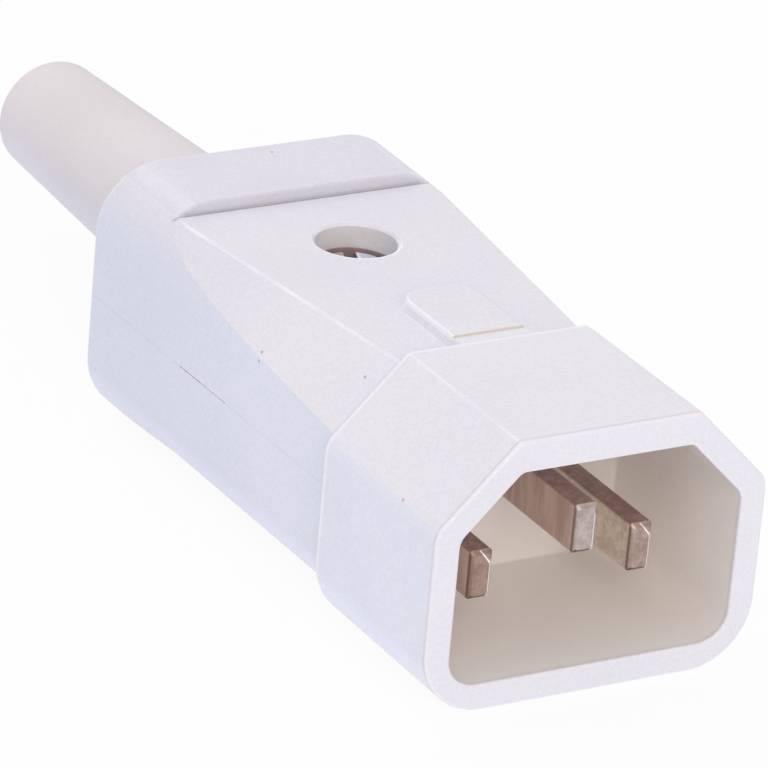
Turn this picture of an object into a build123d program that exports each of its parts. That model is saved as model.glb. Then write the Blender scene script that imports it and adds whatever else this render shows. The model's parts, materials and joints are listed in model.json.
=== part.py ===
from build123d import *
from math import sqrt
import os

# White in-line appliance plug with three flat blades, of the kind that can be rewired.
# The mating face looks along -Y, the sleeve points along +Y, X runs across and Z is up.
# The origin is the centre of the socket's mouth, in the plane of the shroud's rim. Millimetres.

# Socket and shroud
socket_width = 24.4
socket_height = 17.0
socket_depth = 17.4
socket_chamfer = 4.8
socket_bottom_radius = 2.5
socket_side_radius = 1.4
socket_top_radius = 0.9
socket_floor_radius = 0.3
side_wall = 2.15
top_wall = 2.6
bottom_wall = 2.2
shroud_length = 17.15
shroud_chamfer = 6.5
shroud_bottom_radius = 5.4
shroud_side_radius = 2.0
shroud_top_radius = 0.7
rim_edge = 0.3
mouth_edge = 0.25
collar_edge = 0.45

# Handle, as seen from outside
collar_step = 1.05
facet_step = 0.6
neck_length = 1.05
neck_floor = 0.8
handle_length = 39.35
handle_rear_width = 27.6
handle_corner_radius = 5.5
grip_corner_radius = 4.4
grip_length = 26.3
grip_ramp = 8.5
deck_length = 30.4
ridge_edge = 0.25
foot_groove = 0.35
deck_edge_depth = 0.07
facet_length = 28.9
rear_edge = 0.5

# Pad on the deck, behind the shroud
pad_length = 8.8
pad_top_width = 6.2
pad_draft = 0.4
pad_corner_radius = 2.0
pad_edge = 0.25
pad_seam = 0.15
tab_drop = 0.15

# Walls inside the handle
shell_wall = 2.0
rear_wall = 6.8
fit_gap = 0.15
embed = 0.4
rib_height = 0.8
tongue_width = 0.8
tongue_height = 0.8
pry_slot_setback = 18.9
pry_slot_length = 7.4
pry_slot_height = 0.1
pry_slot_depth = 0.12
seam_width = 0.03
seam_depth = 0.02

# Spigot of the front housing, which the shells clamp
lock_rib_offset = 1.5
lock_rib_width = 0.8
barrier_thickness = 1.2
barrier_height = 13.6

# Contacts
blade_thickness = 2.0
blade_height = 4.0
blade_chamfer = 0.3
blade_edge = 0.35
blade_tip_edge = 0.25
blade_pitch = 14.0
blade_offset = 2.0
blade_drop = 0.25
live_tip_depth = 5.15
earth_tip_depth = 2.3
floor_thickness = 4.0
block_width = 5.0
block_length = 6.6
block_above = 2.0
block_below = 4.5
chamber_width = 3.0
chamber_wall = 1.4
chamber_below = 3.8
chamber_above = -0.6
terminal_screw_radius = 1.5
terminal_shank = 4.0
terminal_head_radius = 2.3
terminal_head_height = 1.7
small_head_edge = 0.3
small_slot_width = 0.7
small_slot_depth = 0.9
plate_thickness = 0.7
retainer_thickness = 1.5
window_radius = 1.9

# Cover screw through both shells
cover_screw_setback = 17.65
counterbore_radius = 3.3
counterbore_depth = 4.3
counterbore_edge = 0.2
cover_head_radius = 3.0
cover_head_height = 2.2
cover_head_edge = 0.5
cover_shank_radius = 1.7
cover_screw_length = 13.4
cover_slot_angle = 70.0
cover_slot_width = 1.05
cover_slot_depth = 1.2
screw_tip_chamfer = 0.35
boss_wall = 1.2
nut_side = 5.5
nut_thickness = 2.0
nut_corner = 0.45
nut_cover = 1.6
thread_gap = 0.05
hole_gap = 0.2

# Cord clamp
clamp_screw_inset = 5.5
clamp_bar_width = 5.0
clamp_bar_height = 3.0
clamp_bar_rise = 2.8
clamp_screw_radius = 1.25
clamp_head_radius = 2.3
clamp_head_height = 1.5
clamp_screw_length = 10.0
clamp_nut_side = 4.8
clamp_nut_thickness = 1.6
clamp_nut_drop = 5.0
clamp_post_length = 5.4
cradle_width = 8.4
cradle_rib = 1.0
cradle_pitch = 2.8
cradle_drop = 1.4
saddle_gap = 0.3

# Bend-relief sleeve
cord_diameter = 7.0
sleeve_length = 35.0
sleeve_root_radius = 6.25
sleeve_tip_radius = 4.87
sleeve_tip_edge = 0.8
sleeve_mouth_edge = 0.3
flange_radius = 8.0
flange_thickness = 2.4
flange_wall = 2.75
sleeve_gap = 0.1
entry_gap = 1.3

# How far cuts reach past the faces that they cut, and how near two heights count as one
past = 1.0
close = 1e-4

# Places that follow from the sizes above
socket_half = socket_width / 2
shroud_half = socket_half + side_wall
top_z = socket_height / 2 + top_wall
bottom_z = -socket_height / 2 - bottom_wall
mid_z = (top_z + bottom_z) / 2
deck_z = top_z - collar_step
grip_z = bottom_z + collar_step
neck_end_y = max(shroud_length + neck_length, socket_depth + neck_floor)
rear_y = shroud_length + handle_length
deck_end_y = shroud_length + deck_length
grip_end_y = shroud_length + grip_length
belly_start_y = grip_end_y + grip_ramp
cavity_end_y = rear_y - rear_wall
block_front_y = socket_depth + floor_thickness
block_end_y = block_front_y + block_length
retainer_end_y = block_end_y + retainer_thickness
terminal_screw_y = block_end_y - hole_gap - terminal_head_radius
spigot_end_y = terminal_screw_y - terminal_head_radius - hole_gap
cover_screw_y = rear_y - cover_screw_setback
boss_radius = counterbore_radius + boss_wall
clamp_y = cover_screw_y + boss_radius + fit_gap + clamp_bar_width / 2
reach = 2 * (handle_length + sleeve_length + handle_rear_width)


def across(y):
    """Plane across the plug at y, where a sketch's x is X and its y is Z."""
    return Plane(origin=(0, y, 0), x_dir=(1, 0, 0), z_dir=(0, -1, 0))


def run(sketch, start, end):
    """Solid of one section from one station to another along Y."""
    return extrude(across(start) * sketch, amount=end - start, dir=(0, 1, 0))


def slab(start, end):
    """Everything between two stations along Y."""
    return Pos(0, (start + end) / 2, 0) * Box(reach, end - start, reach)


def above(z):
    """Everything above a height."""
    return Pos(0, 0, z) * Box(reach, reach, reach, align=(Align.CENTER, Align.CENTER, Align.MIN))


def bar(radius, start, end, x=0.0, z=mid_z):
    """Round bar along Y."""
    return Pos(x, (start + end) / 2, z) * Rot(90, 0, 0) * Cylinder(radius, end - start)


def post(radius, low, high, x=0.0, y=0.0):
    """Round post along Z."""
    return Pos(x, y, (low + high) / 2) * Cylinder(radius, high - low)


def block(x_range, y_range, z_range):
    """Box between two values on each axis."""
    middle = [(low + high) / 2 for low, high in (x_range, y_range, z_range)]
    size = [high - low for low, high in (x_range, y_range, z_range)]
    return Pos(*middle) * Box(*size)


def corners_at(sketch, height):
    """A sketch's corners at one height."""
    return sketch.vertices().filter_by(lambda corner: abs(corner.Y - height) < close)


def socket_outline(half, top, bottom, chamfer_leg, radii):
    """Six-sided outline with slanted top corners and rounded bottom corners."""
    top_radius, side_radius, bottom_radius = radii
    points = [
        (chamfer_leg - half, top), (half - chamfer_leg, top), (half, top - chamfer_leg),
        (half, bottom), (-half, bottom), (-half, top - chamfer_leg),
    ]
    outline = make_face(Polyline(*points, close=True))
    outline = fillet(corners_at(outline, bottom), bottom_radius)
    outline = fillet(corners_at(outline, top - chamfer_leg), side_radius)
    return fillet(corners_at(outline, top), top_radius)


def handle_half(y):
    """Half width of the handle, which widens a little towards the rear."""
    front_half = shroud_half - collar_step
    slope = (handle_rear_width / 2 - front_half) / handle_length
    return front_half + slope * (y - shroud_length)


def handle_section(y, inset=0, floor=grip_z, floor_radius=grip_corner_radius):
    """Section of the handle before its deck and facets are cut."""
    half = handle_half(y) - inset
    low, high = floor + inset, top_z - inset
    outline = Pos(0, (low + high) / 2) * Rectangle(2 * half, high - low)
    outline = fillet(corners_at(outline, low), floor_radius - inset)
    return across(y) * fillet(corners_at(outline, high), handle_corner_radius - inset)


def both_sides(normal, origin):
    """Everything beyond a slanted plane on the right, and the same on the left."""
    plane = Plane(origin=origin, x_dir=normal.cross(Vector(0, 1, 0)), z_dir=normal)
    right = plane * Box(reach, reach, reach, align=(Align.CENTER, Align.CENTER, Align.MIN))
    return right + mirror(right, about=Plane.YZ)


def facet_plane():
    """Normal and front point of a facet, which runs out where it meets the top corner's rounding."""
    facet_end_y = shroud_length + facet_length
    shroud_sum = shroud_half + top_z - shroud_chamfer
    front_sum = shroud_sum - facet_step * sqrt(2)
    centre_sum = handle_half(facet_end_y) + top_z - 2 * handle_corner_radius
    rear_sum = centre_sum + handle_corner_radius * sqrt(2)
    normal = Vector(1, (front_sum - rear_sum) / facet_length, 1).normalized()
    return normal, Vector(front_sum - deck_z, shroud_length, deck_z)


def facet_cuts(inset):
    """What the two slanted facets take off."""
    normal, corner = facet_plane()
    return both_sides(normal, corner - normal * inset)


def deck_edge_cuts():
    """Narrow flats along the edges between the deck and its facets."""
    normal, corner = facet_plane()
    halfway = (normal + Vector(0, 0, 1)).normalized()
    return both_sides(halfway, corner - halfway * deck_edge_depth)


def handle_outside():
    """The handle's outer form, both shells and the housing's neck together."""
    belly = (bottom_z, handle_corner_radius)
    front = loft([handle_section(shroud_length), handle_section(grip_end_y)])
    ramp = loft([handle_section(grip_end_y), handle_section(belly_start_y, 0, *belly)])
    rear = loft([handle_section(belly_start_y, 0, *belly), handle_section(rear_y, 0, *belly)])
    rear = fillet(rear.faces().sort_by(Axis.Y)[-1].edges(), rear_edge)
    form = front + ramp + rear - (above(deck_z) & slab(0, deck_end_y))
    ridge = form.faces().filter_by(Axis.Y).sort_by(lambda face: abs(face.center().Y - deck_end_y))[0]
    form = fillet(ridge.edges().sort_by(Axis.Z)[-1], ridge_edge)
    form -= facet_cuts(0) + (deck_edge_cuts() & slab(0, deck_end_y))
    foot = Pos(0, deck_end_y, deck_z) * Box(reach, 2 * foot_groove, 2 * foot_groove)
    return form - (foot & slab(0, deck_end_y))


def handle_inside(inset, start, end):
    """The same form moved inwards, with deck, facets and grip running its whole length."""
    form = loft([handle_section(start, inset), handle_section(end, inset)])
    return form - above(deck_z - inset) - facet_cuts(inset)


def inside_ring(outer_inset, inner_inset, start, end):
    """Closed band that follows the handle's wall, between two insets."""
    return handle_inside(outer_inset, start, end) - handle_inside(inner_inset, start, end)


def make_front_housing():
    """Shroud, socket floor, neck and the spigot that the shells clamp."""
    radii = (shroud_top_radius, shroud_side_radius, shroud_bottom_radius)
    outline = socket_outline(shroud_half, top_z, bottom_z, shroud_chamfer, radii)
    shroud = run(outline, 0, shroud_length)
    shroud = fillet(shroud.faces().sort_by(Axis.Y)[0].edges(), rim_edge)
    shroud = fillet(shroud.faces().sort_by(Axis.Y)[-1].edges(), collar_edge)

    neck = handle_outside() & slab(shroud_length, neck_end_y)
    spigot = handle_inside(shell_wall + fit_gap, neck_end_y, spigot_end_y)
    groove_start = neck_end_y + lock_rib_offset
    groove_end = groove_start + lock_rib_width
    groove_inset = shell_wall + rib_height + fit_gap
    spigot -= inside_ring(0, groove_inset, groove_start - fit_gap, groove_end + fit_gap)
    tab = make_pad() & slab(0, neck_end_y)
    housing = shroud + neck + (tab - above(top_z - tab_drop)) + spigot

    radii = (socket_top_radius, socket_side_radius, socket_bottom_radius)
    outline = socket_outline(socket_half, socket_height / 2, -socket_height / 2, socket_chamfer, radii)
    socket = run(outline, 0, socket_depth)
    socket = fillet(socket.faces().sort_by(Axis.Y)[-1].edges(), socket_floor_radius)
    housing -= socket
    rim = housing.faces().sort_by(Axis.Y)[0]
    housing = fillet(rim.inner_wires()[0].edges(), mouth_edge)

    for x, z, _ in contact_places():
        slot_x = (blade_thickness + hole_gap) / 2
        slot_z = (blade_height + hole_gap) / 2
        housing -= block((x - slot_x, x + slot_x), (socket_depth - past, block_front_y + past),
                         (z - slot_z, z + slot_z))
        pocket_x = block_width / 2 + fit_gap
        pocket_z = (z - block_below - fit_gap, z + block_above + fit_gap)
        housing -= block((x - pocket_x, x + pocket_x), (block_front_y, spigot_end_y + past), pocket_z)
    for side in (-1, 1):
        middle = side * blade_pitch / 4
        x_range = (middle - barrier_thickness / 2, middle + barrier_thickness / 2)
        z_range = (-barrier_height / 2, barrier_height / 2)
        housing += block(x_range, (spigot_end_y - embed, block_end_y), z_range)
    return housing


def contact_places():
    """Where each blade stands: its x, its z and how far its tip lies behind the rim."""
    return [
        (-blade_pitch / 2, -blade_offset - blade_drop, live_tip_depth),
        (blade_pitch / 2, -blade_offset - blade_drop, live_tip_depth),
        (0, blade_offset - blade_drop, earth_tip_depth),
    ]


def make_contact(x, z, tip_y):
    """Flat blade with a bevelled tip, in one piece with its terminal block."""
    outline = Pos(x, z) * RectangleRounded(blade_thickness, blade_height, blade_edge)
    nose = Pos(x, z) * RectangleRounded(blade_thickness - 2 * blade_chamfer, blade_height - 2 * blade_chamfer,
                                        blade_tip_edge)
    shoulder_y = tip_y + blade_chamfer
    tip = loft([across(tip_y) * nose, across(shoulder_y) * outline])
    blade = tip + run(outline, shoulder_y, block_front_y)
    body = block((x - block_width / 2, x + block_width / 2), (block_front_y, block_end_y),
                 (z - block_below, z + block_above))
    chamber_z = (z - chamber_below, z + chamber_above)
    chamber = block((x - chamber_width / 2, x + chamber_width / 2),
                    (block_front_y + chamber_wall, block_end_y), chamber_z)
    thread = post(terminal_screw_radius + thread_gap, z + chamber_above - past, z + block_above,
                  x, terminal_screw_y)
    return blade + (body - chamber - thread)


def make_pressure_plate(x, z):
    """Small plate that the terminal screw presses on the wire."""
    top = z + chamber_above - hole_gap / 2
    half_x = chamber_width / 2 - hole_gap / 2
    half_y = block_end_y - terminal_screw_y - hole_gap
    return block((x - half_x, x + half_x), (terminal_screw_y - half_y, terminal_screw_y + half_y),
                 (top - plate_thickness, top))


def slotted_screw(head, shank, slot, slot_angle):
    """Slotted screw along Z, with the underside of its head at the origin."""
    head_radius, head_height, head_edge = head
    shank_radius, shank_length = shank
    slot_width, slot_depth = slot
    screw = fillet(post(head_radius, 0, head_height).edges().sort_by(Axis.Z)[-1], head_edge)
    tip = post(shank_radius, -shank_length, 0)
    screw += chamfer(tip.edges().sort_by(Axis.Z)[0], screw_tip_chamfer)
    cut = block((-reach, reach), (-slot_width / 2, slot_width / 2),
                (head_height - slot_depth, head_height + past))
    return screw - Rot(0, 0, slot_angle) * cut


def make_terminal_screw(x, z):
    """Terminal screw, its tip on the pressure plate."""
    tip_z = z + chamber_above - hole_gap / 2
    screw = slotted_screw((terminal_head_radius, terminal_head_height, small_head_edge),
                          (terminal_screw_radius, terminal_shank), (small_slot_width, small_slot_depth), 0)
    return Pos(x, terminal_screw_y, tip_z + terminal_shank) * screw


def square_nut(side, thickness, hole_radius):
    """Square nut, centred under the origin."""
    nut = block((-side / 2, side / 2), (-side / 2, side / 2), (-thickness, 0))
    nut = chamfer(nut.edges().filter_by(Axis.Z), nut_corner)
    return nut - post(hole_radius, -thickness, 0)


def nut_slot(side, thickness, length):
    """Room for a square nut that slides in along -Y or, turned round, along +Y."""
    half = side / 2 + fit_gap
    return block((-half, half), (-half, length), (-thickness - fit_gap, 0))


def make_pin_retainer():
    """Plate behind the terminal blocks, with a window for each wire."""
    plate = handle_inside(shell_wall + fit_gap, block_end_y, retainer_end_y)
    for x, z, _ in contact_places():
        window_z = z + (chamber_above - chamber_below) / 2
        plate -= bar(window_radius, block_end_y - past, retainer_end_y + past, x, window_z)
    return plate


def clamp_screw_places():
    """Where the clamp's two screws stand across the plug."""
    x = handle_half(clamp_y) - clamp_screw_inset
    return (-x, x)


def make_shells():
    """Upper and lower half of the handle."""
    handle = handle_outside() & slab(neck_end_y, rear_y)
    handle -= handle_inside(shell_wall, neck_end_y, cavity_end_y)
    for start in (neck_end_y + lock_rib_offset, retainer_end_y):
        handle += inside_ring(shell_wall - embed, shell_wall + rib_height, start, start + lock_rib_width)

    flange_start = rear_y - flange_wall - flange_thickness
    handle -= bar(flange_radius + fit_gap, flange_start - fit_gap, rear_y - flange_wall + fit_gap)
    handle -= bar(sleeve_root_radius + sleeve_gap, rear_y - flange_wall, rear_y + past)
    handle -= bar(cord_diameter / 2 + entry_gap, cavity_end_y - past, flange_start)
    seam = block((-reach, reach), (neck_end_y, rear_y), (mid_z - seam_width / 2, mid_z + seam_width / 2))
    handle -= seam - handle_inside(seam_depth, neck_end_y, rear_y)
    pry_slot_y = rear_y - pry_slot_setback
    for side in (-1, 1):
        edge_x = handle_half(pry_slot_y)
        x_range = sorted((side * (edge_x - pry_slot_depth), side * (edge_x + past)))
        handle -= block(x_range, (pry_slot_y - pry_slot_length / 2, pry_slot_y + pry_slot_length / 2),
                        (mid_z - pry_slot_height / 2, mid_z + pry_slot_height / 2))

    upper = handle & above(mid_z)
    lower = handle - above(mid_z)
    return finish_upper(upper), finish_lower(lower)


def make_pad():
    """Raised pad, flush with the shroud's top, which runs from the shroud over the neck and the deck."""
    start = shroud_length - past
    levels = ((deck_z - embed, -pad_draft * embed / collar_step), (top_z, pad_draft))
    sections = []
    for z, draft in levels:
        half = pad_top_width / 2 + pad_draft - draft
        length = neck_end_y + pad_length + pad_draft - draft - start
        outline = Rectangle(2 * half, length, align=(Align.CENTER, Align.MIN))
        rear_corners = outline.vertices().sort_by(Axis.Y)[-2:]
        outline = fillet(rear_corners, pad_corner_radius + pad_draft - draft)
        sections.append(Pos(0, start, z) * outline)
    pad = loft(sections)
    return fillet(pad.faces().sort_by(Axis.Z)[-1].edges(), pad_edge)


def finish_upper(upper):
    """Adds what only the upper shell has: pad, screw boss with its counterbore, rebate for the tongue."""
    boss = post(boss_radius, mid_z, deck_z - shell_wall + embed, 0, cover_screw_y)
    upper += boss
    upper -= post(counterbore_radius, deck_z - counterbore_depth, top_z, 0, cover_screw_y)
    upper -= Pos(0, cover_screw_y, deck_z - counterbore_edge) * Cone(
        counterbore_radius, counterbore_radius + 2 * counterbore_edge, 2 * counterbore_edge,
        align=(Align.CENTER, Align.CENTER, Align.MIN))
    upper -= post(cover_shank_radius + hole_gap, mid_z - past, deck_z, 0, cover_screw_y)
    rebate = inside_ring(shell_wall - tongue_width - fit_gap, shell_wall, neck_end_y, cavity_end_y)
    upper -= rebate & block((-reach, reach), (0, reach), (mid_z - past, mid_z + tongue_height + fit_gap))
    pad = make_pad() & slab(neck_end_y, rear_y)
    notch = block((-reach, reach), (neck_end_y, neck_end_y + pad_seam), (top_z - pad_seam, top_z + past))
    return upper + (pad - notch)


def finish_lower(lower):
    """Adds what only the lower shell has: screw boss and clamp posts with nut slots, cradle and tongue."""
    floor = grip_z + shell_wall - embed
    boss = post(boss_radius, floor, mid_z, 0, cover_screw_y)
    boss -= Pos(0, cover_screw_y, mid_z - nut_cover) * nut_slot(nut_side, nut_thickness, reach)
    screw_end = deck_z - counterbore_depth - cover_screw_length - hole_gap
    boss -= post(cover_shank_radius + hole_gap, screw_end, mid_z, 0, cover_screw_y)
    lower += boss

    for x in clamp_screw_places():
        half = clamp_post_length / 2
        top = mid_z + clamp_bar_rise
        pillar = block((x - half, x + half), (clamp_y - half, clamp_y + half), (floor, top))
        pillar -= Pos(x, clamp_y, top - clamp_nut_drop) * Rot(0, 0, 180) * nut_slot(
            clamp_nut_side, clamp_nut_thickness, reach)
        pillar -= post(clamp_screw_radius + hole_gap, top - clamp_screw_length, top, x, clamp_y)
        lower += pillar

    cradle_top = mid_z - cradle_drop
    for side in (-1, 1):
        middle = clamp_y + side * cradle_pitch / 2
        rib = block((-cradle_width / 2, cradle_width / 2), (middle - cradle_rib / 2, middle + cradle_rib / 2),
                    (floor, cradle_top))
        lower += rib - bar(cord_diameter / 2, middle - cradle_rib, middle + cradle_rib)

    tongue = inside_ring(shell_wall - tongue_width, shell_wall, neck_end_y, cavity_end_y)
    return lower + (tongue & block((-reach, reach), (0, reach), (mid_z, mid_z + tongue_height)))


def make_clamp_bar():
    """Saddle bar that presses the cord's sheath into the cradle."""
    low = mid_z + clamp_bar_rise
    half = clamp_bar_width / 2
    left_x, right_x = clamp_screw_places()
    outline = SlotOverall(right_x - left_x + clamp_bar_width, clamp_bar_width)
    saddle = Pos(0, clamp_y, low) * extrude(outline, amount=clamp_bar_height)
    saddle -= bar(cord_diameter / 2 + saddle_gap, clamp_y - half, clamp_y + half)
    for x in clamp_screw_places():
        saddle -= post(clamp_screw_radius + hole_gap, low, low + clamp_bar_height, x, clamp_y)
    return saddle


def make_clamp_screw(x):
    """Screw of the cord clamp."""
    screw = slotted_screw((clamp_head_radius, clamp_head_height, small_head_edge),
                          (clamp_screw_radius, clamp_screw_length), (small_slot_width, small_slot_depth), 90)
    return Pos(x, clamp_y, mid_z + clamp_bar_rise + clamp_bar_height) * screw


def make_clamp_nut(x):
    """Square nut in a clamp post."""
    nut = square_nut(clamp_nut_side, clamp_nut_thickness, clamp_screw_radius + thread_gap)
    return Pos(x, clamp_y, mid_z + clamp_bar_rise - clamp_nut_drop) * nut


def make_cover_screw():
    """Slotted screw sunk in the deck."""
    screw = slotted_screw((cover_head_radius, cover_head_height, cover_head_edge),
                          (cover_shank_radius, cover_screw_length), (cover_slot_width, cover_slot_depth),
                          cover_slot_angle)
    return Pos(0, cover_screw_y, deck_z - counterbore_depth) * screw


def make_cover_nut():
    """Square nut in the lower shell's boss."""
    nut = square_nut(nut_side, nut_thickness, cover_shank_radius + thread_gap)
    return Pos(0, cover_screw_y, mid_z - nut_cover) * nut


def make_sleeve():
    """Soft tapered sleeve with the flange that the shells hold."""
    bore = cord_diameter / 2
    flange_end = rear_y - flange_wall
    points = [
        (bore, flange_end - flange_thickness), (flange_radius, flange_end - flange_thickness),
        (flange_radius, flange_end), (sleeve_root_radius, flange_end), (sleeve_root_radius, rear_y),
        (sleeve_tip_radius, rear_y + sleeve_length), (bore, rear_y + sleeve_length),
    ]
    profile = make_face(Polyline(*points, close=True))
    tip = profile.vertices().sort_by(Axis.Y)[-2:].sort_by(Axis.X)
    profile = fillet(tip[1], sleeve_tip_edge)
    mouth = profile.vertices().sort_by(Axis.Y)[-2:].sort_by(Axis.X)
    profile = fillet(mouth[0], sleeve_mouth_edge)
    return Pos(0, 0, mid_z) * revolve(profile, axis=Axis.Y)


upper_shell, lower_shell = make_shells()
parts = {
    "front_housing": make_front_housing(),
    "upper_shell": upper_shell,
    "lower_shell": lower_shell,
    "bend_relief_sleeve": make_sleeve(),
    "pin_retainer": make_pin_retainer(),
    "cover_screw": make_cover_screw(),
    "cover_nut": make_cover_nut(),
    "cord_clamp_bar": make_clamp_bar(),
}
for name, (x, z, tip_y) in zip(("line", "neutral", "earth"), contact_places()):
    parts[name + "_pin"] = make_contact(x, z, tip_y)
    parts[name + "_terminal_screw"] = make_terminal_screw(x, z)
    parts[name + "_pressure_plate"] = make_pressure_plate(x, z)
for name, x in zip(("left", "right"), clamp_screw_places()):
    parts[name + "_clamp_screw"] = make_clamp_screw(x)
    parts[name + "_clamp_nut"] = make_clamp_nut(x)

os.makedirs("parts", exist_ok=True)
for name, shape in parts.items():
    export_step(shape, f"parts/{name}.step")
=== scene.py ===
import json
from math import cos, radians, sin

import bpy
from mathutils import Matrix, Vector


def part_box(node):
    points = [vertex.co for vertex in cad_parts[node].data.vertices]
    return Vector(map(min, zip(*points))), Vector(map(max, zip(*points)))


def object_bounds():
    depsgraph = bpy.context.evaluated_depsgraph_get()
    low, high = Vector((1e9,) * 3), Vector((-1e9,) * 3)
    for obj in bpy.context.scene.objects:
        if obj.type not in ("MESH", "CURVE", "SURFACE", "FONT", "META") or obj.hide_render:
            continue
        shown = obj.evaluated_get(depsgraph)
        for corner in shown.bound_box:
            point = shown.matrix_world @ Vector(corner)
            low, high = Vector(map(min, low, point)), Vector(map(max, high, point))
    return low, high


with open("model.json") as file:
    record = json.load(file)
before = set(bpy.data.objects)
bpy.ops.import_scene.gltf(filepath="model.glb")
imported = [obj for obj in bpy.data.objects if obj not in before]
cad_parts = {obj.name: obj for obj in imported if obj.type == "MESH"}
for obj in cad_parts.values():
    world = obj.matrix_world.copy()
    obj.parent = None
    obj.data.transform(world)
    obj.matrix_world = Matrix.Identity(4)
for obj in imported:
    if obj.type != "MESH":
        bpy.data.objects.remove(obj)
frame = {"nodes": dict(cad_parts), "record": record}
cad_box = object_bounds()
nodes = frame["nodes"]
mm = 0.001

# Camera: the angle, distance and framing of the photograph
camera_azimuth = -31.451
camera_elevation = 24.299
camera_roll = 5.157
camera_distance = 491.795 * mm
aimed_at = Vector((0, 20, 0)) * mm
framing_left = 6.215 * mm
framing_up = 5.352 * mm
nearest_seen = 10 * mm
sensor_width = 36.0
lens_length = 300.54

# Boxes that the places below are measured from
floor_z = cad_box[0].z
_, housing_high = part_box("front_housing")
shell_low, shell_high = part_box("upper_shell")
screw_low, screw_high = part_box("cover_screw")

# Cover screw and its hole
screw_axis = ((screw_low.x + screw_high.x) / 2, (screw_low.y + screw_high.y) / 2, 0)
hole_clearance = 0.35 * mm
hole_radius = (screw_high.x - screw_low.x) / 2 + hole_clearance
slot_angle = radians(70)
slot_half_width = 0.525 * mm
slot_depth = 1.5 * mm
slot_fade = 0.05 * mm
# Painted highlight beside the slot, painted shade in the slot and round the foot of the head
slot_highlight_end = slot_half_width + 0.25 * mm
slot_shade_heights = (screw_high.z - 0.25 * mm, screw_high.z - 0.1 * mm)
hole_foot_shade_heights = (screw_high.z, screw_high.z + 0.15 * mm)
hole_foot_shade_across = (-2.2 * mm, -0.6 * mm)
hole_foot_shade_shares = (0.35, 1)

# Deck, and the painted highlight on the hole's edge
collar_step = 1.05 * mm
deck_z = housing_high.z - collar_step
hole_fade = 0.1 * mm
hole_heights = (deck_z - 0.4 * mm, deck_z - 0.1 * mm)
hole_highlight_end = hole_radius + 0.25 * mm
hole_highlight_along = (screw_axis[1] - 2.6 * mm, screw_axis[1] - 0.6 * mm)
hole_highlight_heights = (deck_z - 0.3 * mm, deck_z - 0.2 * mm)
side_heights = (deck_z - 0.3 * mm, deck_z)
rear_along = (22 * mm, 46 * mm)

# Ridge, and the painted shade in the groove at its foot
ridge_length = 8.95 * mm
ridge_foot = shell_high.y - ridge_length
ridge_heights = (deck_z, deck_z + 0.1 * mm)
ridge_along = (ridge_foot - 0.3 * mm, ridge_foot - 0.2 * mm)
foot_along = (ridge_foot - 0.25 * mm, ridge_foot)
foot_along_fade = 0.08 * mm
foot_heights = (deck_z - 0.5 * mm, deck_z + 0.1 * mm)
foot_height_fade = 0.1 * mm
foot_half_width = 10.5 * mm
foot_ends = (foot_half_width, foot_half_width + 0.4 * mm)

# Pad
pad_front = shell_low.y
pad_half_width = 4.6 * mm
pad_ends = (pad_half_width, pad_half_width + 0.2 * mm)
pad_gap_along = (pad_front + 0.15 * mm, pad_front + 0.25 * mm)
pad_gap_heights = (deck_z + 0.5 * mm, deck_z + 0.8 * mm)
pad_top_heights = (deck_z + 0.6 * mm, deck_z + 0.8 * mm)
pad_foot_heights = (deck_z + 0.02 * mm, deck_z + 0.15 * mm)
pad_foot_fade = 0.05 * mm

# Housing: its rim, its collar and the walls of the socket
rim_line = 0.3 * mm
line_fade = 0.12 * mm
line_share = 0.8
rim_along = (0.1 * mm, 0.3 * mm)
collar_end = 16.75 * mm
collar_line = (collar_end - 0.2 * mm, collar_end)
side_wall = 2.1 * mm
top_wall = 2.55 * mm
socket_chamfer = 4.8 * mm
socket_side = housing_high.x - side_wall
socket_top = housing_high.z - top_wall
socket_slant = socket_side + socket_top - socket_chamfer
wall_fade = 0.5 * mm
socket_fade = 1.0 * mm
socket_back = 16 * mm
ceiling_heights = (2 * mm, 8 * mm)

# Blades: where they are on the plug
blade_half_pitch = 3.5 * mm
blade_tops = (-0.25 * mm, 3.75 * mm)
earth_low = -0.25 * mm
earth_heights = (earth_low - 0.1 * mm, earth_low + 0.1 * mm)
right_pin_across = (3 * mm, 6 * mm)
left_pin_across = (-6 * mm, -3 * mm)

# Painted highlight and shade lines on a blade's tip, from the blade's middle and down from its top
corner_slope = 0.8
corner_line = (-0.2 * mm, -0.1 * mm)
bevel_line = (0.72 * mm, 0.88 * mm)
bevel_below = (0.7 * mm, 1.1 * mm)
blade_line_fade = 0.06 * mm
blade_left_edge = (-0.9 * mm, -0.78 * mm)

# Specks in the plastic, in millimetres
speck_places = (
    (-10.02, 19.23, 8.33),
    (-14.03, 5.71, 4.85),
    (-13.15, 29.51, 6.42),
    (-13.45, 29.35, 5.78),
    (0.96, 54.72, 11.1),
)
speck_radius = 0.09 * mm

# How far a surface faces a way, 1 being straight along it: where a share starts to change and ends
flat_sideways = (0.34, 0.48)
flat_sideways_fade = 0.1
flat_upward = (0.6, 0.75)
edge_rearward = (0.2, 0.5)
edge_rearward_fade = 0.15
side_sideways = (0.75, 0.95)
top_upward = (0.75, 0.95)
under_upward = (-0.4, -0.05)
step_rearward = (-0.8, -0.3)
rim_rearward = (-0.95, -0.8)
pad_right_sideways = (0.1, 0.3)
pad_left_sideways = (-0.3, -0.1)
sleeve_under_upward = (0.0, 0.9)
sleeve_low_upward = (-0.6, 0.1)
sleeve_right_sideways = (0.1, 0.7)
blade_top_upward = (0.4, 0.8)
blade_tip_forward = (0.3, 0.45)

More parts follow.
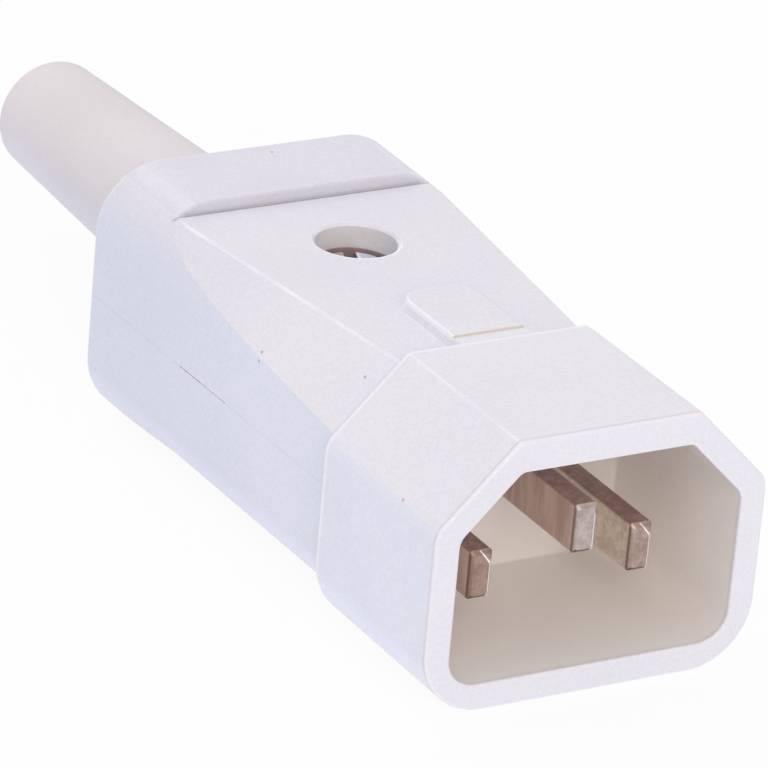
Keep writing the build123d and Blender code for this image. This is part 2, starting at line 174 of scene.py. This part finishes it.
# Noise: features per metre, and the part of its range that is used
broad_scale = 90
fine_scale = 3300
highlight_breakup_scale = 170
grain_scale = 2600
smudge_scale = 60
rubber_grain_scale = 2000
streak_scale = 1100
streak_stretch = (1, 1, 0.15)
blotch_scale = 1400
pin_grain_scale = 2500
scratch_scale = 500
turning_scale = 6 * scratch_scale
middle_range = (0.35, 0.65)
wide_range = (0.3, 0.7)
highlight_breakup_range = (0.4, 0.65)
highlight_breakup_shares = (0.1, 0.75)
smudge_range = (0.35, 0.75)
broad_share = 0.35
smudge_share = 0.6

# Depth of the grain
grain_depth = 0.05 * mm
rubber_grain_depth = 0.012 * mm
pin_grain_depth = 0.015 * mm
scratch_depth = 0.005 * mm

# Roughness and metal
shell_roughness = 0.46
housing_roughness = 0.42
insulator_roughness = 0.5
grain_roughness = 0.06
rubber_roughness = (0.5, 0.62)
pin_roughness = (0.36, 0.5)
metal_roughness = 0.3
scratch_roughness = 0.15
pin_metallic = 0.4
screw_metallic = 0.5

# Colours, linear; a pair is what a noise runs between
plastic_colour = (0.82, 0.805, 0.865)
plastic_shade = (0.755, 0.742, 0.81)
housing_colour = (0.835, 0.82, 0.88)
housing_shade = (0.77, 0.757, 0.825)
insulator_colour = (0.62, 0.60, 0.58)
insulator_shade = (0.55, 0.53, 0.51)
# Tints of painted light and shade by the way a surface faces
side_shade_tint = (0.955, 0.99, 1.045)
rear_shade_tint = (0.95, 0.955, 0.965)
rim_light_tint = (0.95, 0.965, 0.985)
underside_light_tint = (1.07, 1.08, 1.11)
# Warm painted light in the socket; painted shade under its ceiling
socket_light_colour = (0.865, 0.825, 0.79)
socket_back_light_colour = (0.93, 0.90, 0.88)
ceiling_shade_tint = (0.89, 0.84, 0.83)
# Below, all but the specks' colour are painted highlight or painted shade
edge_highlight_colour = (0.90, 0.885, 0.93)
hole_highlight_colour = (0.98, 0.965, 1.0)
speck_colour = (0.50, 0.46, 0.46)
hole_shade_colour = (0.735, 0.715, 0.725)
recess_shade_colour = (0.36, 0.26, 0.28)
foot_shade_colour = (0.63, 0.60, 0.645)
ridge_shade_tint = (0.95, 0.945, 0.975)
step_shade_tint = (0.93, 0.93, 0.93)
pad_gap_shade_colour = (0.72, 0.67, 0.61)
rim_line_shade_colour = (0.72, 0.66, 0.64)
sleeve_colour = (0.78, 0.74, 0.765)
sleeve_shade = (0.725, 0.685, 0.695)
# Painted shade and light on the sleeve by the way it faces
sleeve_under_shade_tint = (0.94, 0.945, 0.97)
sleeve_low_light_tint = (1.02, 1.07, 1.13)
sleeve_right_shade_tint = (0.92, 0.91, 0.91)
pin_browns = ((0.56, 0.40, 0.34), (0.73, 0.57, 0.51))
# Right blade's sides painted lighter as if lit; tops, left tip and dark tip lines painted shade; bright
# tip lines painted highlight
pin_lit_tans = ((0.62, 0.51, 0.42), (0.78, 0.70, 0.60))
pin_top_shades = ((0.29, 0.19, 0.175), (0.42, 0.29, 0.27))
live_tips = ((0.35, 0.255, 0.225), (0.48, 0.37, 0.335))
earth_tips = ((0.38, 0.32, 0.305), (0.51, 0.44, 0.425))
left_tip_shade_tint = (0.82, 0.76, 0.72)
tip_shade_colour = (0.18, 0.115, 0.10)
tip_highlight_colour = (0.96, 0.96, 0.98)
steel_colours = ((0.76, 0.85, 1.0), (0.64, 0.72, 0.86))
brass_colours = ((0.62, 0.44, 0.17), (0.50, 0.34, 0.13))
head_shade = (0.55, 0.50, 0.51)
white = (1.0, 1.0, 1.0)

# Light
ambient_strength = 0.75
ambient_colour = (0.90, 0.94, 1.0)
floor_colour = (0.96, 0.96, 0.965)
floor_glow = 0.9
floor_underlight = 0.29
floor_reach = 3.0

# Lamps: name, direction from the plug, distance, size, power and colour
lamps = (
    ("lamp_front_left", (-0.35, -0.9, 0.55), 1.0, 0.5, 2.85, (1.0, 0.82, 0.68)),
    ("lamp_front", (0.1, -1, 0.35), 1.0, 0.8, 0.6, (0.95, 1.0, 0.8)),
    ("lamp_above", (-0.2, 0.2, 1), 0.9, 0.9, 1.2, (1.0, 0.84, 0.74)),
    ("lamp_behind", (0.05, 0.78, 0.63), 1.0, 0.35, 0.6, (1.0, 0.83, 0.8)),
)


def connect(tree, socket, value):
    """Links another node's socket to this one, or sets a plain value on it."""
    if isinstance(value, bpy.types.NodeSocket):
        tree.links.new(value, socket)
    else:
        socket.default_value = value


def add(tree, kind, settings=None, inputs=None):
    """New shader node with its settings and inputs."""
    made = tree.nodes.new("ShaderNode" + kind)
    for name, value in (settings or {}).items():
        setattr(made, name, value)
    for name, value in (inputs or {}).items():
        connect(tree, made.inputs[name], value)
    return made


def calculate(tree, operation, first, second=0.0):
    """Output of a Math node."""
    return add(tree, "Math", {"operation": operation}, {0: first, 1: second}).outputs[0]


def wrapped(tree, value, half_range):
    """Value brought into a range round 0 by steps of the whole range."""
    limits = {0: value, 1: half_range, 2: -half_range}
    return add(tree, "Math", {"operation": "WRAP"}, limits).outputs[0]


def distance(tree, place, point):
    """Distance from a point."""
    inputs = {0: place, 1: point}
    return add(tree, "VectorMath", {"operation": "DISTANCE"}, inputs).outputs["Value"]


def rescale(tree, value, low, high, new_low=0.0, new_high=1.0):
    """Value between two limits, mapped smoothly to two others and held within them."""
    limits = {"Value": value, "From Min": low, "From Max": high, "To Min": new_low, "To Max": new_high}
    return add(tree, "MapRange", {"interpolation_type": "SMOOTHSTEP"}, limits).outputs[0]


def falling(tree, value, low, high):
    """1 below two limits, 0 above them."""
    return rescale(tree, value, low, high, 1, 0)


def product(tree, *values):
    """Product of several values."""
    result = values[0]
    for value in values[1:]:
        result = calculate(tree, "MULTIPLY", result, value)
    return result


def mixed(tree, first, second, share):
    """Sum of two values, with the first one's share of it."""
    return calculate(tree, "ADD", product(tree, first, share), product(tree, second, 1 - share))


def band(tree, value, low, high, fade):
    """1 between two limits, fading to 0 outside them."""
    rising = rescale(tree, value, low - fade, low)
    return product(tree, rising, falling(tree, value, high, high + fade))


def blend_colours(tree, share, first, second):
    """First colour where the share is 0, second where it is 1."""
    made = add(tree, "Mix", {"data_type": "RGBA"}, {0: share})
    for index, colour in ((6, first), (7, second)):
        linked = isinstance(colour, bpy.types.NodeSocket)
        connect(tree, made.inputs[index], colour if linked else (*colour, 1.0))
    return made.outputs[2]


def tinted(tree, share, colour, tint):
    """Colour multiplied by a tint where the share is 1, and never lighter than white."""
    settings = {"data_type": "RGBA", "blend_type": "MULTIPLY", "clamp_result": True}
    made = add(tree, "Mix", settings, {0: share, 6: colour, 7: (*tint, 1.0)})
    return made.outputs[2]


def noise(tree, place, scale, detail=2.0, roughness=0.5, stretch=(1, 1, 1)):
    """Noise on the piece's own coordinates."""
    mapped = add(tree, "Mapping", None, {"Vector": place, "Scale": stretch}).outputs[0]
    inputs = {"Vector": mapped, "Scale": scale, "Detail": detail, "Roughness": roughness}
    return add(tree, "TexNoise", None, inputs).outputs["Fac"]


def new_material(name):
    """Material with one Principled shader; returns it with its tree, shader and coordinates."""
    material = bpy.data.materials.new(name)
    material.use_nodes = True
    tree = material.node_tree
    return material, tree, tree.nodes["Principled BSDF"], add(tree, "TexCoord").outputs["Object"]


def bumped(tree, height, depth):
    """Normal that follows a height."""
    inputs = {"Height": height, "Distance": depth, "Strength": 1.0}
    return add(tree, "Bump", None, inputs).outputs[0]


def split(tree, vector):
    """The three parts of a vector."""
    return add(tree, "SeparateXYZ", None, {0: vector}).outputs


def facing_parts(tree):
    """How far a surface faces sideways, to the rear and upward, on the piece's own axes."""
    return split(tree, add(tree, "TexCoord").outputs["Normal"])


def lit_edges(tree, place):
    """Share of painted highlight along the narrow flats beside the deck, broken up by noise, and on edges
    that turn to the rear.
    """
    sideways, rearward, upward = facing_parts(tree)
    sideways = calculate(tree, "ABSOLUTE", sideways)
    beside = band(tree, sideways, *flat_sideways, flat_sideways_fade)
    highlight_breakup = rescale(tree, noise(tree, place, highlight_breakup_scale, 3), *highlight_breakup_range, *highlight_breakup_shares)
    beside = product(tree, beside, highlight_breakup, rescale(tree, upward, *flat_upward))
    to_rear = band(tree, rearward, *edge_rearward, edge_rearward_fade)
    return calculate(tree, "MAXIMUM", beside, to_rear)


def specks(tree, place):
    """1 in a few tiny specks."""
    share = 0.0
    for spot in speck_places:
        away = distance(tree, place, tuple(value * mm for value in spot))
        share = calculate(tree, "MAXIMUM", falling(tree, away, speck_radius, 2 * speck_radius), share)
    return share


def moulded_plastic(name, light, dark, roughness):
    """Matt plastic with a spark-eroded grain, uneven colour, a few tiny specks, painted highlights on
    edges, and painted light and shade by the way a surface faces: bluer shade on the sides, shade towards
    the rear, cool light on the undersides.
    """
    material, tree, shader, place = new_material(name)
    _, along, up = split(tree, place)
    sideways, _, upward = facing_parts(tree)
    sideways = calculate(tree, "ABSOLUTE", sideways)

    broad = rescale(tree, noise(tree, place, broad_scale, 3), *middle_range)
    fine = rescale(tree, noise(tree, place, fine_scale), *wide_range)
    colour = blend_colours(tree, mixed(tree, broad, fine, broad_share), dark, light)
    colour = blend_colours(tree, specks(tree, place), colour, speck_colour)
    # Painted highlight on the edges that catch the light
    colour = blend_colours(tree, lit_edges(tree, place), colour, edge_highlight_colour)

    # Painted shade, bluer, on the low sides; painted shade towards the rear on all but the top; painted
    # cool light on the undersides
    beside = product(tree, rescale(tree, sideways, *side_sideways), falling(tree, up, *side_heights))
    colour = tinted(tree, beside, colour, side_shade_tint)
    to_rear = product(tree, rescale(tree, along, *rear_along), falling(tree, upward, *top_upward))
    colour = tinted(tree, to_rear, colour, rear_shade_tint)
    colour = tinted(tree, falling(tree, upward, *under_upward), colour, underside_light_tint)

    grain = noise(tree, place, grain_scale, 3, 0.6)
    rough = rescale(tree, grain, *wide_range, roughness - grain_roughness, roughness + grain_roughness)
    connect(tree, shader.inputs["Base Color"], colour)
    connect(tree, shader.inputs["Roughness"], rough)
    connect(tree, shader.inputs["Normal"], bumped(tree, grain, grain_depth))
    return material, tree, shader, place, colour


def make_shell_plastic():
    """The shells' plastic, with painted shade in the screw's hole and round the foot of its head, on the
    ridge, its step and along its foot, in the gap at the pad's front and on the pad's right edge, and
    painted highlights on the hole's near edge and the pad's left edge.
    """
    material, tree, shader, place, colour = moulded_plastic(
        "shell_plastic", plastic_colour, plastic_shade, shell_roughness)
    across, along, up = split(tree, place)
    sideways, rearward, _ = facing_parts(tree)
    middle = calculate(tree, "ABSOLUTE", across)

    flat_place = add(tree, "CombineXYZ", None, {0: across, 1: along}).outputs[0]
    from_screw = distance(tree, flat_place, screw_axis)
    # Painted shade in the screw's hole, darker round the foot of the screw's head
    in_hole = product(tree, falling(tree, from_screw, hole_radius, hole_radius + hole_fade),
                      falling(tree, up, *hole_heights))
    colour = blend_colours(tree, in_hole, colour, hole_shade_colour)
    at_head = product(tree, in_hole, falling(tree, up, *hole_foot_shade_heights),
                      rescale(tree, across, *hole_foot_shade_across, *hole_foot_shade_shares))
    colour = blend_colours(tree, at_head, colour, recess_shade_colour)
    # Painted highlight on the hole's near edge
    hole_highlight = product(tree, band(tree, from_screw, hole_radius, hole_highlight_end, hole_fade),
                        falling(tree, along, *hole_highlight_along),
                        rescale(tree, up, *hole_highlight_heights))
    colour = blend_colours(tree, hole_highlight, colour, hole_highlight_colour)

    # Painted shade on the ridge, darker on its step, and a painted shade line along its foot
    on_ridge = product(tree, rescale(tree, up, *ridge_heights), rescale(tree, along, *ridge_along))
    colour = tinted(tree, on_ridge, colour, ridge_shade_tint)
    on_step = product(tree, on_ridge, falling(tree, rearward, *step_rearward))
    colour = tinted(tree, on_step, colour, step_shade_tint)
    at_foot = product(tree, band(tree, along, *foot_along, foot_along_fade),
                      band(tree, up, *foot_heights, foot_height_fade),
                      falling(tree, middle, *foot_ends))
    colour = blend_colours(tree, at_foot, colour, foot_shade_colour)

    # Painted shade in the gap at the pad's front and along its right top edge; painted highlight along
    # its left top edge and foot
    at_pad = product(tree, falling(tree, along, *pad_gap_along), rescale(tree, up, *pad_gap_heights))
    colour = blend_colours(tree, at_pad, colour, pad_gap_shade_colour)
    on_pad = falling(tree, middle, *pad_ends)
    near_top = rescale(tree, up, *pad_top_heights)
    pad_right = product(tree, on_pad, near_top, rescale(tree, sideways, *pad_right_sideways))
    colour = blend_colours(tree, pad_right, colour, foot_shade_colour)
    near_foot = band(tree, up, *pad_foot_heights, pad_foot_fade)
    pad_left = product(tree, on_pad, calculate(tree, "MAXIMUM", near_top, near_foot),
                       falling(tree, sideways, *pad_left_sideways))
    colour = blend_colours(tree, pad_left, colour, edge_highlight_colour)
    connect(tree, shader.inputs["Base Color"], colour)
    return material


def make_housing_plastic():
    """The housing's plastic, with warm painted light in the depth of the socket and painted shade under
    its ceiling, a painted shade line behind the rim, painted cool light on the front faces and a painted
    highlight along the collar's edge.
    """
    material, tree, shader, place, colour = moulded_plastic(
        "housing_plastic", housing_colour, housing_shade, housing_roughness)
    across, along, up = split(tree, place)
    sideways = calculate(tree, "ABSOLUTE", across)
    slanted = calculate(tree, "ADD", sideways, up)
    height = calculate(tree, "ABSOLUTE", up)

    in_socket = rescale(tree, along, 0.0, socket_fade)
    for value, wall in ((sideways, socket_side), (height, socket_top), (slanted, socket_slant)):
        in_socket = product(tree, in_socket, falling(tree, value, wall, wall + wall_fade))

    # Painted shade line just behind the rim; painted cool light on the front faces; painted highlight
    # along the collar's edge
    behind_rim = band(tree, along, rim_line, rim_line + line_fade, line_fade)
    colour = blend_colours(tree, product(tree, behind_rim, line_share), colour, rim_line_shade_colour)
    on_rim = product(tree, falling(tree, facing_parts(tree)[1], *rim_rearward),
                     falling(tree, along, *rim_along))
    colour = tinted(tree, on_rim, colour, rim_light_tint)
    at_collar = band(tree, along, *collar_line, line_fade)
    colour = blend_colours(tree, product(tree, at_collar, line_share), colour, edge_highlight_colour)

    # Warm painted light in the socket, lighter towards its back, with painted shade under its ceiling
    depth = rescale(tree, along, socket_fade, socket_back)
    inside = blend_colours(tree, depth, socket_light_colour, socket_back_light_colour)
    inside = tinted(tree, rescale(tree, up, *ceiling_heights), inside, ceiling_shade_tint)
    connect(tree, shader.inputs["Base Color"], blend_colours(tree, in_socket, colour, inside))
    return material


def make_sleeve_rubber():
    """Soft rubber, a little pinker than the plastic, with faint smudges, painted shade on all but its top
    and on its right, and painted cool light on its underside.
    """
    material, tree, shader, place = new_material("sleeve_rubber")
    smudge = rescale(tree, noise(tree, place, smudge_scale, 2, 0.4), *smudge_range)
    fine = rescale(tree, noise(tree, place, fine_scale), *wide_range)
    uneven = mixed(tree, smudge, fine, smudge_share)
    colour = blend_colours(tree, uneven, sleeve_colour, sleeve_shade)

    # Painted shade on all but the top and on the right; painted cool light underneath
    sideways, _, upward = facing_parts(tree)
    colour = tinted(tree, falling(tree, upward, *sleeve_under_upward), colour, sleeve_under_shade_tint)
    colour = tinted(tree, falling(tree, upward, *sleeve_low_upward), colour, sleeve_low_light_tint)
    colour = tinted(tree, rescale(tree, sideways, *sleeve_right_sideways), colour, sleeve_right_shade_tint)

    grain = noise(tree, place, rubber_grain_scale, 3)
    connect(tree, shader.inputs["Base Color"], colour)
    connect(tree, shader.inputs["Roughness"], rescale(tree, grain, *wide_range, *rubber_roughness))
    connect(tree, shader.inputs["Normal"], bumped(tree, grain, rubber_grain_depth))
    return material


def make_contact_metal():
    """Tarnished plated brass: streaky brown sides, paler tips; the right blade's sides painted lighter
    and the tops painted darker as light and shade fall, painted shade along the tips' left and lower
    edges, and painted highlights on the tips' edges.
    """
    material, tree, shader, place = new_material("contact_brass")
    across, _, up = split(tree, place)
    _, rearward, upward = facing_parts(tree)
    forward = product(tree, rearward, -1)
    on_earth = rescale(tree, up, *earth_heights)
    on_blade = wrapped(tree, across, blade_half_pitch)
    below_top = calculate(tree, "SUBTRACT", rescale(tree, on_earth, 0, 1, *blade_tops), up)
    at_tip = rescale(tree, forward, *blade_tip_forward)

    streaks = rescale(tree, noise(tree, place, streak_scale, 4, 0.65, streak_stretch), *middle_range)
    blotches = rescale(tree, noise(tree, place, blotch_scale, 4, 0.7), *middle_range)
    brown = blend_colours(tree, streaks, *pin_browns)
    tan = blend_colours(tree, blotches, *pin_lit_tans)
    # The right blade's sides painted lighter and the tops painted darker, as light and shade fall
    colour = blend_colours(tree, rescale(tree, across, *right_pin_across), brown, tan)
    top = blend_colours(tree, blotches, *pin_top_shades)
    colour = blend_colours(tree, rescale(tree, upward, *blade_top_upward), colour, top)
    live_tip = blend_colours(tree, blotches, *live_tips)
    # Left blade's tip painted darker, as shade
    live_tip = tinted(tree, falling(tree, across, *left_pin_across), live_tip, left_tip_shade_tint)
    tip = blend_colours(tree, on_earth, live_tip, blend_colours(tree, blotches, *earth_tips))
    colour = blend_colours(tree, at_tip, colour, tip)

    # Painted highlights on the tip's top corner and right bevel; painted shade on its left edge and lower
    # faces
    corner = calculate(tree, "SUBTRACT", on_blade, product(tree, below_top, corner_slope))
    corner = product(tree, band(tree, corner, *corner_line, blade_line_fade),
                     falling(tree, on_earth, 0, 1), rescale(tree, blotches, 0, 1, 0.5, 1))
    right = product(tree, band(tree, on_blade, *bevel_line, blade_line_fade),
                    rescale(tree, below_top, *bevel_below))
    highlight = product(tree, calculate(tree, "MAXIMUM", corner, right), at_tip)
    downward = product(tree, upward, -1)
    dark = calculate(tree, "MAXIMUM", falling(tree, on_blade, *blade_left_edge),
                     rescale(tree, downward, *blade_tip_forward))
    colour = blend_colours(tree, product(tree, at_tip, dark), colour, tip_shade_colour)
    colour = blend_colours(tree, highlight, colour, tip_highlight_colour)

    grain = noise(tree, place, pin_grain_scale, 3)
    connect(tree, shader.inputs["Base Color"], colour)
    connect(tree, shader.inputs["Metallic"], rescale(tree, highlight, 0, 1, pin_metallic, 0))
    connect(tree, shader.inputs["Roughness"], rescale(tree, streaks, 0, 1, *pin_roughness))
    connect(tree, shader.inputs["Normal"], bumped(tree, grain, pin_grain_depth))
    return material


def make_metal(name, colours, metallic=1.0):
    """Metal with fine turning marks; returns it with its tree, shader, coordinates and colour."""
    material, tree, shader, place = new_material(name)
    patches = rescale(tree, noise(tree, place, scratch_scale, 4), *middle_range)
    rough = rescale(tree, patches, 0, 1, metal_roughness, metal_roughness + scratch_roughness)
    colour = blend_colours(tree, patches, *colours)
    connect(tree, shader.inputs["Base Color"], colour)
    connect(tree, shader.inputs["Metallic"], metallic)
    connect(tree, shader.inputs["Roughness"], rough)
    marks = noise(tree, place, turning_scale)
    connect(tree, shader.inputs["Normal"], bumped(tree, marks, scratch_depth))
    return material, tree, shader, place, colour


def make_screw_steel():
    """Zinc-plated steel, with painted shade in the cover screw's slot and on the head's left, and one
    painted highlight along the edge beside the slot.
    """
    material, tree, shader, place, colour = make_metal("screw_steel", steel_colours, screw_metallic)
    across, along, up = split(tree, place)
    over = product(tree, calculate(tree, "SUBTRACT", across, screw_axis[0]), sin(slot_angle))
    back = product(tree, calculate(tree, "SUBTRACT", along, screw_axis[1]), cos(slot_angle))
    from_slot = calculate(tree, "SUBTRACT", over, back)
    at_head = band(tree, up, screw_high.z - slot_depth, screw_high.z, slot_fade)

    # Painted highlight along one edge beside the slot; painted shade on the head's left and in the slot
    beside = product(tree, at_head, band(tree, from_slot, slot_half_width, slot_highlight_end, slot_fade))
    colour = blend_colours(tree, beside, colour, white)
    left = product(tree, at_head, falling(tree, from_slot, -slot_half_width, 0))
    colour = blend_colours(tree, left, colour, head_shade)
    in_slot = product(tree, at_head, falling(tree, up, *slot_shade_heights))
    colour = blend_colours(tree, in_slot, colour, recess_shade_colour)
    connect(tree, shader.inputs["Base Color"], colour)
    return material


def make_insulator_plastic():
    """Plain moulded plastic of the pieces inside."""
    return moulded_plastic(
        "insulator_plastic", insulator_colour, insulator_shade, insulator_roughness)[0]


def make_nut_brass():
    """Plain brass of the nuts and plates."""
    return make_metal("nut_brass", brass_colours)[0]


def dress_nodes():
    """Gives every CAD node the material of its slot."""
    made = {
        "housing_plastic": make_housing_plastic(),
        "shell_plastic": make_shell_plastic(),
        "sleeve_rubber": make_sleeve_rubber(),
        "insulator_plastic": make_insulator_plastic(),
        "contact_brass": make_contact_metal(),
        "nut_brass": make_nut_brass(),
        "screw_steel": make_screw_steel(),
    }
    for row in frame["record"]["subparts"]:
        piece = nodes[row["node"]]
        piece.data.materials.clear()
        piece.data.materials.append(made[row["material_slot"]])


def make_camera():
    """The camera, turned about its own axis by the photograph's slight roll."""
    azimuth, elevation, roll = radians(camera_azimuth), radians(camera_elevation), radians(camera_roll)
    back = Vector((sin(azimuth) * cos(elevation), -cos(azimuth) * cos(elevation), sin(elevation)))
    level = Vector((cos(azimuth), sin(azimuth), 0))
    upright = back.cross(level)
    right = cos(roll) * level + sin(roll) * upright
    up = back.cross(right)
    data = bpy.data.cameras.new("camera")
    data.sensor_width = sensor_width
    data.lens = lens_length
    data.clip_start = nearest_seen
    camera = bpy.data.objects.new("camera", data)
    centre = aimed_at - framing_left * right + framing_up * up
    axes = Matrix((right, up, back)).transposed().to_4x4()
    camera.matrix_world = Matrix.Translation(centre + back * camera_distance) @ axes
    bpy.context.scene.collection.objects.link(camera)
    bpy.context.scene.camera = camera


def seen_directly(tree):
    """1 for what the camera sees straight, in a reflection or through glass, else 0."""
    path = add(tree, "LightPath").outputs
    seen = calculate(tree, "MAXIMUM", path["Is Camera Ray"], path["Is Glossy Ray"])
    return calculate(tree, "MAXIMUM", seen, path["Is Transmission Ray"])


def make_floor():
    """Pale floor that shows white and keeps the plug's soft shadow."""
    material = bpy.data.materials.new("floor_white")
    material.use_nodes = True
    tree = material.node_tree
    tree.nodes.clear()
    matt = add(tree, "BsdfDiffuse", None, {"Color": (*floor_colour, 1)})
    glow = add(tree, "Emission", None, {"Color": (*white, 1), "Strength": 1.0})
    share = rescale(tree, seen_directly(tree), 0, 1, floor_underlight, floor_glow)
    both = add(tree, "MixShader", None, {0: share, 1: matt.outputs[0], 2: glow.outputs[0]})
    add(tree, "OutputMaterial", None, {"Surface": both.outputs[0]})

    signs = ((-1, -1), (1, -1), (1, 1), (-1, 1))
    corners = [(x * floor_reach, y * floor_reach, floor_z) for x, y in signs]
    mesh = bpy.data.meshes.new("floor")
    mesh.from_pydata(corners, [], [(0, 1, 2, 3)])
    mesh.materials.append(material)
    floor = bpy.data.objects.new("floor", mesh)
    bpy.context.scene.collection.objects.link(floor)


def make_world():
    """Even studio light all round, white where it is seen."""
    world = bpy.data.worlds.new("studio")
    world.use_nodes = True
    tree = world.node_tree
    tree.nodes.clear()
    light = add(tree, "Background", None, {"Color": (*ambient_colour, 1), "Strength": ambient_strength})
    seen = add(tree, "Background", None, {"Color": (*white, 1), "Strength": 1.0})
    both = add(tree, "MixShader", None, {0: seen_directly(tree), 1: light.outputs[0], 2: seen.outputs[0]})
    add(tree, "OutputWorld", None, {"Surface": both.outputs[0]})
    bpy.context.scene.world = world


def soft_lamp(name, direction, away, size, power, colour):
    """Square lamp that faces the plug from one side."""
    data = bpy.data.lights.new(name, "AREA")
    data.shape = "SQUARE"
    data.size = size
    data.energy = power
    data.color = colour
    lamp = bpy.data.objects.new(name, data)
    towards = Vector(direction).normalized()
    lamp.location = aimed_at + towards * away
    lamp.rotation_euler = towards.to_track_quat("Z", "Y").to_euler()
    bpy.context.scene.collection.objects.link(lamp)


def make_lamps():
    """Plain soft lamps, a little warmer than the light all round."""
    for lamp in lamps:
        soft_lamp(*lamp)


dress_nodes()
make_camera()
make_floor()
make_world()
make_lamps()
bpy.context.scene.view_settings.view_transform = "Standard"
